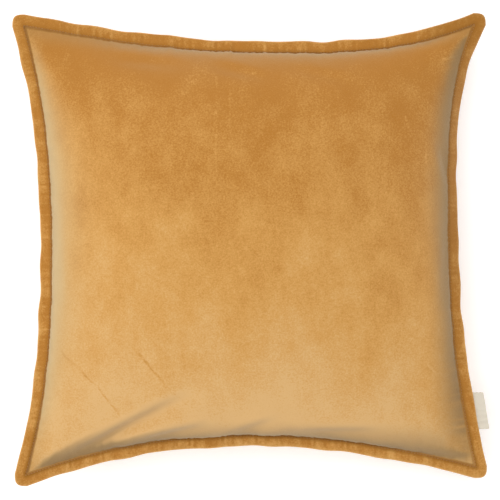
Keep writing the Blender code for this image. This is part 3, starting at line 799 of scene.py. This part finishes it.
def rim_places(u, v, low, high):
    """Columns and rows of a body grid with its flange, and how far out each of them lies.

    The flange repeats the border's column or row. How far out is 0 on the body and a share
    of the flange's width with sign on the flange, which is left out on a side not asked for.
    """
    rim = len(FLANGE_STEPS) - 1
    below, above = rim * low, rim * high
    outside = FLANGE_STEPS[1:]
    columns = np.clip(np.arange(-rim, len(u) + rim), 0, len(u) - 1)
    rows = np.clip(np.arange(-below, len(v) + above), 0, len(v) - 1)
    beyond_u = np.concatenate([-outside[::-1], np.zeros(len(u)), outside])
    beyond_v = np.concatenate([-outside[::-1][:below], np.zeros(len(v)), outside[:above]])
    return columns, rows, beyond_u[None, :], beyond_v[:, None]


def grown(body, u, v, lift, low=True, high=True):
    """Grow the flange round a grid of body points at shares u and v, low and high where asked."""
    columns, rows, beyond_u, beyond_v = rim_places(u, v, low, high)
    offset = flange_offset(u[columns][None, :], v[rows][:, None], beyond_u, beyond_v, lift)
    return body[np.ix_(rows, columns)] + offset


def by_side(u, v):
    """For left, right, bottom and top: distance over the cloth to that seam, share along it."""
    return ((FLAT_HALF * (1 + u), v), (FLAT_HALF * (1 - u), v),
            (FLAT_HALF * (1 + v), u), (FLAT_HALF * (1 - v), u))


def mark(piece, u, v, low=True, high=True):
    """Write on each point how far past the seam it lies, in metres, and how it is gathered."""
    columns, rows, beyond_u, beyond_v = rim_places(u, v, low, high)
    sides = by_side(*np.meshgrid(u[columns], v[rows]))
    outer = np.maximum(np.abs(beyond_u), np.abs(beyond_v)) * FLANGE
    past = np.where(outer > 0, outer, -np.minimum.reduce([distance for distance, share in sides]))
    gather = sum(puckers(share, side) * np.exp(-distance / MARK_FADE)
                 for side, (distance, share) in enumerate(sides))
    for name, values in (("past_seam", past), ("gather", gather)):
        layer = piece.data.attributes.new(name, "FLOAT", "POINT")
        layer.data.foreach_set("value", values.reshape(-1).astype(np.float32))


def ruffle(points, u, v, height):
    """Carry the puckers of the seam up the body, where they fade within two centimetres."""
    total = 0.0
    for side, (distance, share) in enumerate(by_side(*np.meshgrid(u, v))):
        total = total + puckers(share, side) * (1 - np.exp(-distance / 0.003)) * np.exp(-distance / 0.011)
    return points + outward(points) * (height * total)[..., None]


# start x, y, end x, y, depth and half width in millimetres
FOLDS = ((-204, -223, -70, -150, 6.4, 11), (-130, -204, -50, -182, 3.8, 8), (-30, -196, 24, -175, 2.4, 8),
         (38, -190, 138, -188, 2.6, 8), (176, -212, 236, -222, 2.2, 7), (-40, 196, 16, 182, 1.2, 7),
         (48, 190, 108, 178, 0.7, 7), (-150, 205, -70, 196, 1.4, 8), (212, 60, 196, 108, 2.2, 8),
         (213, 40, 206, -60, 1.6, 7), (-208, 60, -200, -60, 1.0, 10))


def fold(points, start_x, start_y, end_x, end_y, depth, width):
    """Press a long soft fold into a grid of points.

    Across the fold the height goes down on its lower side and up on its upper side, as the
    slope of a bell curve does; along it the depth swells from nothing and back.
    """
    start, run = np.array((start_x, start_y)) * MM, np.array((end_x - start_x, end_y - start_y)) * MM
    length = np.linalg.norm(run)
    ahead = run / length
    offset = points[..., :2] - start
    along = np.clip(offset @ ahead / length, 0, 1)
    aside = (offset - along[..., None] * run) @ np.array((-ahead[1], ahead[0]))
    gap = np.linalg.norm(offset - along[..., None] * run, axis=-1) / (width * MM)
    shape = (aside / (width * MM) - 0.4) * np.exp(-gap ** 2) * np.sin(math.pi * (0.08 + 0.84 * along))
    return depth * MM * 1.6 * shape


body_share = np.linspace(-1, 1, BODY_CELLS + 1)
front_body = finer(front_cloth, BODY_CELLS + 1)
front_fade = 1 - np.maximum(np.abs(body_share[:, None]), np.abs(body_share[None, :])) ** 24
front_folds = sum(fold(front_body, *each) for each in FOLDS) * front_fade
front_body = front_body + outward(front_body) * front_folds[..., None]
front_body = ruffle(front_body, body_share, body_share, RUFFLE)
front_points = grown(front_body, body_share, body_share, FLANGE_BODY / 2)
velvet_front = thicken(surface("velvet_front", front_points, VELVET), VELVET_WALL)
mark(velvet_front, body_share, body_share)
claim(velvet_front, "velvet", "cover_front")
print("front panel:", front_points.shape[0] ** 2, "points")

# %% [markdown]
# ## The zip's own curve
#
# A zip bends one way only, so it lies on an arc round a fixed axis, which is also the axis
# that the slider turns about. `on_zip` gives the place at a distance along the arc, across
# it towards the middle of the back, and out from the stuffing.

# %% The zip's curve
CAD_HALF = 0.2365
CAD_PULL = 0.029
CAD_BASE = 0.068              # under face of the flange at the seam
BACK_DROP = 0.082
FLAT_BLEND = 0.006
ZIP_SHARE = 0.84
ZIP_HALF = 0.155

run_joint = next(j for j in frame["record"]["behaviour"]["joints"] if j["name"] == "slider_run")
ZIP_CENTRE = np.array(run_joint["pos_m"])
ZIP_AXIS = np.array(run_joint["axis"])


def zip_point(share):
    """The even belly's point on the middle line of the back at a share of its height."""
    along, rise = arc_profile(np.float64(share))
    return np.array([0.0, CAD_HALF * along * (1 - CAD_PULL / CAD_HALF), CAD_BASE - BACK_DROP * rise])


NUDGE = 1e-4
zip_middle = zip_point(-ZIP_SHARE)
zip_up = (zip_point(-ZIP_SHARE + NUDGE) - zip_point(-ZIP_SHARE - NUDGE)) / (2 * NUDGE)
zip_rate = float(np.linalg.norm(zip_up))
zip_up = zip_up / zip_rate
zip_out = np.cross(zip_up, (1.0, 0.0, 0.0))
zip_out = zip_out * -np.sign(zip_out[2])
ZIP_RADIUS = float(np.linalg.norm(zip_middle - ZIP_CENTRE))


def on_zip(along, across, out):
    """A start point beside the zip's middle, turned round the zip's axis by along / radius."""
    along, across, out = np.broadcast_arrays(along, across, out)
    flat = zip_middle - ZIP_CENTRE + across[..., None] * zip_up + out[..., None] * zip_out
    turn = (along / ZIP_RADIUS)[..., None]
    spun = (flat * np.cos(turn) + np.cross(ZIP_AXIS, flat) * np.sin(turn)
            + ZIP_AXIS * (flat @ ZIP_AXIS)[..., None] * (1 - np.cos(turn)))
    return ZIP_CENTRE + spun


print("zip: middle", np.round(zip_middle, 4), "radius %.4f m" % ZIP_RADIUS)

# %% [markdown]
# ## The back panels
#
# The back lies on the table, so its middle is flat and its rim bellies up to the seam. It is
# cut in two along the zip. Both parts are one surface: the belly, eased onto the band that
# the zip lies in. Where the cloth is slack it ripples a little.

# %% The back
BAND_HALF = 13.3 * MM
TAPE_TAIL = 8.0 * MM
SLIT_HALF = 5.9 * MM
SLIT_OPEN = 157.8 * MM
SLIT_TAPER = 10.0 * MM
PANEL_SEAM = 0.35 * MM


def smooth(value):
    """Ease from 0 at 0 to 1 at 1."""
    value = np.clip(value, 0, 1)
    return value * value * (3 - 2 * value)


def settle(height):
    """Keep a height above the table, with a short soft roll onto it."""
    soft = (height + FLAT_BLEND) ** 2 / (4 * FLAT_BLEND)
    return np.where(height < -FLAT_BLEND, 0, np.where(height < FLAT_BLEND, soft, height))


def back_surface(u, v):
    """The rippled belly, settled on the table and eased onto the zip's band."""
    points = stuffed(u, v, -BACK_DROP, FLANGE_HEIGHT - SEAM_LIFT)
    x, y = points[..., 0], points[..., 1]
    slack = np.clip(points[..., 2] / 0.02, 0, 1) * (1 - np.maximum(np.abs(u), np.abs(v)) ** 6)
    ripple = (np.sin(46 * x + 14 * y + 1.0) * np.sin(27 * y - 9 * x) + 0.6 * np.sin(71 * x - 58 * y)
              + 0.5 * np.sin(88 * y + 33 * x + 2.0))
    spread = 1 + 0.008 * ripple * slack
    points = np.stack([x * spread, y * spread, settle(points[..., 2] + 1.2 * MM * ripple * slack)], -1)
    along = -points[..., 0]
    across = (v + ZIP_SHARE) * zip_rate
    band = on_zip(along, across, 0.0)
    reach_end = SLIT_OPEN + SLIT_TAPER
    seam_room = (1 - ZIP_SHARE) * zip_rate - BAND_HALF
    fade_out = 1 - smooth((np.abs(along) - reach_end) / (2.5 * SLIT_TAPER))
    fade_up = 1 - smooth((across - BAND_HALF) / (3 * BAND_HALF))
    fade_down = 1 - smooth((-across - BAND_HALF) / seam_room)
    weight = (fade_out * fade_up * fade_down * (np.abs(u) < 1))[..., None]
    return points * (1 - weight) + band * weight


def slit_half(u):
    """Half the opening between the folded edges of the velvet, along the zip."""
    along = np.abs(stuffed(u, -ZIP_SHARE, -BACK_DROP, CAD_BASE)[..., 0])
    return SLIT_HALF + (PANEL_SEAM - SLIT_HALF) * smooth((along - SLIT_OPEN) / SLIT_TAPER)


back_share = np.linspace(-1, 1, 141)
main_start = -ZIP_SHARE + BAND_HALF / zip_rate
main_share = np.concatenate([np.linspace(-ZIP_SHARE, main_start, 8)[:-1], np.linspace(main_start, 1, 112)])
strip_share = np.linspace(-1, -ZIP_SHARE, 26)


def back_part(shares, side):
    """Body points of one back panel; the rows near the slit are eased to its folded edge."""
    u, v = np.meshgrid(back_share, shares)
    reach = (BAND_HALF if side > 0 else zip_rate * (1 - ZIP_SHARE)) / zip_rate
    near = np.clip(1 - np.abs(v + ZIP_SHARE) / reach, 0, 1)
    return back_surface(u, v + side * near * slit_half(u) / zip_rate)


velvet_back_body = back_part(main_share, 1)
velvet_strip_body = back_part(strip_share, -1)
back_points = grown(velvet_back_body, back_share, main_share, -FLANGE_BODY / 2, low=False)
strip_points = grown(velvet_strip_body, back_share, strip_share, -FLANGE_BODY / 2, high=False)
velvet_back = thicken(surface("velvet_back", back_points, VELVET, turned=True), VELVET_WALL)
velvet_back_strip = thicken(surface("velvet_back_strip", strip_points, VELVET, turned=True), VELVET_WALL)
mark(velvet_back, back_share, main_share, low=False)
mark(velvet_back_strip, back_share, strip_share, high=False)
for piece, node in ((velvet_back, "cover_back"), (velvet_back_strip, "cover_back_strip")):
    claim(piece, "velvet", node)
print("back: %d and %d points" % (back_points.size // 3, strip_points.size // 3))

# %% [markdown]
# ## What is sewn into the flange
#
# The panels are sewn right sides together along their raw edges and turned, so the raw edges
# lie inside the flange as a flat ring with a row of stitches. A second seam at the foot of
# the body closes the flange. Its stitches are separate short loops that dip into the pile.

# %% Places round the flange
THIN = 1e-6                   # a thickness next to nothing, for what lies in the middle plane


def round_shares(steps):
    """u, v and the outward signs once round the four sides, corners included."""
    side = np.linspace(-1, 1, steps)
    flat = np.ones(steps)
    u = np.concatenate([side[:-1], flat[:-1], -side[:-1], -flat[:-1]])
    v = np.concatenate([-flat[:-1], side[:-1], flat[:-1], -side[:-1]])
    return u, v


def flange_ring(steps, beyond, lift):
    """Closed run of points at a share of the flange's width, on its face."""
    u, v = round_shares(steps)
    out_u = np.where(np.abs(u) > 1 - 1e-9, np.sign(u), 0.0) * beyond
    out_v = np.where(np.abs(v) > 1 - 1e-9, np.sign(v), 0.0) * beyond
    seam = stuffed(u, v, 0.0, FLANGE_HEIGHT + math.copysign(SEAM_LIFT, lift))
    return seam + flange_offset(u, v, out_u, out_v, lift)


def middle_ring(beyond):
    """Closed run of points at a share of the flange's width, halfway between its faces."""
    return flange_ring(120, beyond, THIN) - np.array((0.0, 0.0, SEAM_LIFT))


def resample(path, step, closed):
    """Points at even spacing on a path, near to a wanted step."""
    run = np.concatenate([path, path[:1]]) if closed else path
    length = np.concatenate([[0.0], np.cumsum(np.linalg.norm(np.diff(run, axis=0), axis=1))])
    count = max(2, int(round(length[-1] / step)))
    places = np.linspace(0, length[-1], count + 1)[:-1 if closed else None]
    return np.stack([np.interp(places, length, run[:, k]) for k in range(3)], -1)


def stitches(name, path, pitch, radius, out, finish, closed=True):
    """One small bent capsule for each stitch of a seam.

    Along a stitch the thread follows the path, arches up by its radius in the middle and
    dips below the face at both ends; its radius closes at the ends.
    """
    spots = resample(path, pitch, closed)
    ahead = unit(np.roll(spots, -1, 0) - np.roll(spots, 1, 0) if closed else np.gradient(spots, axis=0))
    up = unit(np.broadcast_to(np.asarray(out, dtype=float), spots.shape))
    side = unit(np.cross(ahead, up))
    up = np.cross(side, ahead)
    s = np.linspace(-1, 1, 7)
    girth = np.sqrt(1 - (0.985 * s) ** 6)
    lift = 1.0 - 2.2 * s ** 2
    turn = np.arange(6) * math.pi / 3
    middle = spots[:, None] + ahead[:, None] * (0.40 * pitch * s)[None, :, None]
    middle = middle + up[:, None] * (radius * lift)[None, :, None]
    ring = np.cos(turn)[None, None, :, None] * side[:, None, None] \
        + np.sin(turn)[None, None, :, None] * up[:, None, None]
    points = middle[:, :, None] + radius * girth[None, :, None, None] * ring
    loops = np.arange(points.size // 3).reshape(points.shape[:3])
    wrapped = np.concatenate([loops, loops[:, :, :1]], 2)
    quads = np.stack([wrapped[:, :-1, :-1], wrapped[:, 1:, :-1], wrapped[:, 1:, 1:], wrapped[:, :-1, 1:]],
                     -1).reshape(-1, 4)
    caps = np.concatenate([loops[:, 0], loops[:, -1, ::-1]])
    print(name + ":", len(spots), "stitches")
    return new_object(name, mesh_of(name, points, quads, caps), finish)


STITCH_PITCH = 3.2 * MM
THREAD_RADIUS = 0.24 * MM
INNER_THREAD = 0.25 * MM      # radius of the seams that nobody sees
STITCH_BEYOND = 0.10
for row, face in (("top", 1), ("under", -1)):
    seam = stitches("seam_stitches_" + row, flange_ring(240, STITCH_BEYOND, face * FLANGE_BODY / 2),
                    STITCH_PITCH, THREAD_RADIUS, (0, 0, face), THREAD)
    claim(seam, "sewing_thread", "flange_stitch_" + row)

# %% The turned-in edges
allowance_points = np.stack([middle_ring(share) for share in (0.30, 0.5, 0.7, 0.80)])
allowance_index = np.arange(allowance_points.size // 3).reshape(allowance_points.shape[:2])
allowance_loop = np.concatenate([allowance_index, allowance_index[:, :1]], 1)
allowance_mesh = mesh_of("turned_edges", allowance_points, quads_of(allowance_loop)[:, ::-1])
turned_edges = thicken(new_object("turned_edges", allowance_mesh, VELVET), 0.5 * MM)
turned_edges.modifiers["thickness"].offset = 0.0
claim(turned_edges, "velvet", "seam_allowance")
edge_seam = tube("edge_seam", middle_ring(0.85), INNER_THREAD, THREAD, closed=True)
claim(edge_seam, "sewing_thread", "edge_stitch")

# %% [markdown]
# ## The side label
#
# A strip of ivory satin ribbon, folded in half and caught in the edge seam. It is one sheet:
# its profile runs out, turns round a narrow fold and comes back, and is carried along the
# edge. Cut threads at the two open sides are left slightly uneven.

# %% The label
LABEL_LENGTH = 0.0395
LABEL_OUT = 0.0116
LABEL_TUCK = 0.0028
LABEL_MIDDLE = -0.1772
LABEL_DROOP = math.radians(10)
RIBBON_WALL = 0.28 * MM
FOLD_GAP = 0.42 * MM
FOLD_SHARE = 0.06             # share of half the ribbon that turns round the fold


def label_sheet(columns, rows):
    """Grid of the folded ribbon: s runs over the fold from one tucked end to the other."""
    s = np.linspace(-1, 1, columns)[None, :]
    t = np.linspace(-1, 1, rows)[:, None]
    share = (LABEL_MIDDLE + t * LABEL_LENGTH / 2) / FLAT_HALF
    zero = np.zeros_like(share)
    one = zero + 1
    edge = stuffed(one, share, 0.0, FLANGE_HEIGHT) + flange_offset(one, share, one, zero, THIN)
    edge[..., 2] -= SEAM_LIFT
    reach = LABEL_TUCK + LABEL_OUT
    bend = np.clip((np.abs(s) - FOLD_SHARE) / (1 - FOLD_SHARE), 0, 1)
    turn = np.clip(s / FOLD_SHARE, -1, 1)
    out = reach * (1 - bend) - LABEL_TUCK + FOLD_GAP * (np.cos(turn * math.pi / 2) - 1)
    side = turn * FOLD_GAP * (0.35 + 0.65 * (1 - bend) ** 0.5)
    curl = 0.5 * MM * np.sin(2.1 * t + 0.4) * np.clip(out / LABEL_OUT, 0, 1)
    x = edge[..., 0] + out * math.cos(LABEL_DROOP) - side * math.sin(LABEL_DROOP)
    z = edge[..., 2] + side * math.cos(LABEL_DROOP) - out * math.sin(LABEL_DROOP) + curl
    y = edge[..., 1] + 0.15 * MM * np.sin(19 * out / LABEL_OUT) * np.sign(t)
    return np.stack(np.broadcast_arrays(x, y, z), -1)


side_label = thicken(surface("side_label_ribbon", label_sheet(49, 41), RIBBON), RIBBON_WALL)
claim(side_label, "label_ribbon", "side_label")

# %% [markdown]
# ## Tapes, coils and stitches of the zip
#
# A coil zip is a nylon wire wound round a cord and sewn to a woven tape. Each row is a helix
# carried along the zip's curve, flattened where it faces the other row. The tapes are thin
# sheets, and a row of stitches holds the folded velvet to each of them.

# %% The zip
TEETH_GAP = 0.8 * MM
TAPE_WIDTH = 11.0 * MM
TAPE_OUT = -1.5 * MM
TAPE_THICK = 0.6 * MM
COIL_PITCH = 1.35 * MM
COIL_WIDTH = 2.3 * MM
COIL_THICK = 1.9 * MM
COIL_LIFT = 0.3 * MM          # from the middle of the tape to the underside of the coil
WIRE = 0.27 * MM
CORD_RADIUS = 0.5 * MM
CORD_OUT = -0.25 * MM
ZIP_STITCH_PITCH = 3.0 * MM
ZIP_STITCH_ASIDE = 2 * MM     # from the folded edge of the velvet to its stitches


def coil_path(side):
    """A flattened helix round the coil's middle line, leaning forwards at its heads."""
    turns = int(2 * (ZIP_HALF - WIRE) / COIL_PITCH)
    turn = np.linspace(0, turns * 2 * math.pi, turns * 12 + 1)
    along = -ZIP_HALF + WIRE + turn / (2 * math.pi) * COIL_PITCH + 0.2 * COIL_PITCH * np.sin(turn)
    across = TEETH_GAP + COIL_WIDTH / 2 - (COIL_WIDTH / 2 - WIRE) * np.cos(turn)
    out = TAPE_OUT + COIL_LIFT + COIL_THICK / 2 + (COIL_THICK / 2 - WIRE) * np.sin(turn)
    return on_zip(along, side * across, out)


coil_line = np.linspace(-ZIP_HALF, ZIP_HALF, 120)
tape_line = np.linspace(-ZIP_HALF - TAPE_TAIL, ZIP_HALF + TAPE_TAIL, 160)[None, :]
tape_across = np.linspace(0, 1, 9)[:, None]
seam_line = np.linspace(-ZIP_HALF - 2 * MM, ZIP_HALF + 2 * MM, 200)
seam_out = on_zip(0.0, 0.0, 1.0) - on_zip(0.0, 0.0, 0.0)
for row, side in (("upper", 1), ("lower", -1)):
    coil = tube("zip_coil_%s_wire" % row, coil_path(side), WIRE, NYLON, sides=5, across=(0.0, 0.37, 0.93))
    claim(coil, "zip_coil", "zip_coil_" + row)
    cord_path = on_zip(coil_line, side * (TEETH_GAP + COIL_WIDTH / 2), CORD_OUT)
    claim(tube("zip_cord_" + row, cord_path, CORD_RADIUS, TAPE, sides=8), "zip_tape")
    ribs = 0.05 * MM * np.sin(tape_across * 8 * math.pi)
    tape_points = on_zip(tape_line, side * (TEETH_GAP + tape_across * TAPE_WIDTH), TAPE_OUT + ribs)
    tape = surface("zip_tape_%s_weave" % row, tape_points, TAPE, turned=side > 0)
    claim(thicken(tape, TAPE_THICK), "zip_tape", "zip_tape_" + row)
    seam_path = on_zip(seam_line, side * (SLIT_HALF + ZIP_STITCH_ASIDE), 0.1 * MM)
    seam = stitches("zip_stitches_" + row, seam_path, ZIP_STITCH_PITCH, THREAD_RADIUS, seam_out, THREAD,
                    closed=False)
    claim(seam, "sewing_thread", "zip_stitch_" + row)

for name in ("zip_slider", "zip_pull", "zip_top_stop_upper", "zip_top_stop_lower", "zip_bottom_stop"):
    frame["nodes"][name].material_slots[0].material = BRASS

# %% [markdown]
# ## The insert
#
# Inside the cover is a plain cushion: two casings sewn at their edge and filled with fibre.
# Nobody sees it while the zip is closed, but the part is an assembly, so it is all there. It
# repeats the shape of the cover a few millimetres further in.

# %% The insert
INSERT_INSET = 8.0 * MM
FILL_INSET = 11.0 * MM
CASING_WALL = 0.35 * MM
insert_share = np.linspace(-1, 1, 65)
insert_grid = np.meshgrid(insert_share, insert_share)
cloth_index = np.round((insert_share + 1) / 2 * BODY_CELLS).astype(int)


def shrunk(points, inset, low):
    """The cover's points drawn in towards the middle, kept above the table by low."""
    scale = 1 - inset / FLAT_HALF
    middle = np.array((0.0, 0.0, FLANGE_HEIGHT))
    drawn = middle + (points - middle) * np.array((scale, scale, scale * 0.985))
    drawn[..., 2] = np.maximum(drawn[..., 2], low)
    return drawn


def closed_bag(name, upper, lower, finish):
    """Two grids of points joined along the border of the upper one into a closed mesh."""
    count = upper.shape[0]
    index = np.arange(count * count).reshape(count, count)
    under = index.copy()
    under[1:-1, 1:-1] += count * count
    points = np.concatenate([upper.reshape(-1, 3), lower.reshape(-1, 3)])
    quads = np.concatenate([quads_of(index), quads_of(under)[:, ::-1]])
    used, quads = np.unique(quads, return_inverse=True)
    return new_object(name, mesh_of(name, points[used], quads.reshape(-1, 4)), finish)


front_inner = front_body[np.ix_(cloth_index, cloth_index)].copy()
front_inner[..., 2] -= SEAM_LIFT
back_inner = stuffed(*insert_grid, -BACK_DROP, FLANGE_HEIGHT)
back_inner[..., 2] = settle(back_inner[..., 2])
lip = np.array((0.0, 0.0, 0.4 * MM))
casing_front = surface("casing_front", shrunk(front_inner, INSERT_INSET, 0.0) + lip, CASING)
casing_back = surface("casing_back", shrunk(back_inner, INSERT_INSET, 1.6 * MM) - lip, CASING, turned=True)
for casing, node in ((casing_front, "insert_front"), (casing_back, "insert_back")):
    claim(thicken(casing, CASING_WALL), "casing", node)

fibre_filling = closed_bag("fibre_filling", shrunk(front_inner, FILL_INSET, 0.0),
                           shrunk(back_inner, FILL_INSET, 3.0 * MM), FIBRE)
claim(fibre_filling, "fibre", "filling")

insert_path = shrunk(stuffed(*round_shares(60), 0.0, FLANGE_HEIGHT), INSERT_INSET - 1.0 * MM, 0.0)
insert_seam = tube("insert_seam", insert_path, INNER_THREAD, CASING_THREAD, closed=True)
claim(insert_seam, "casing", "insert_stitch")
print("insert:", len(insert_path), "places round its seam")
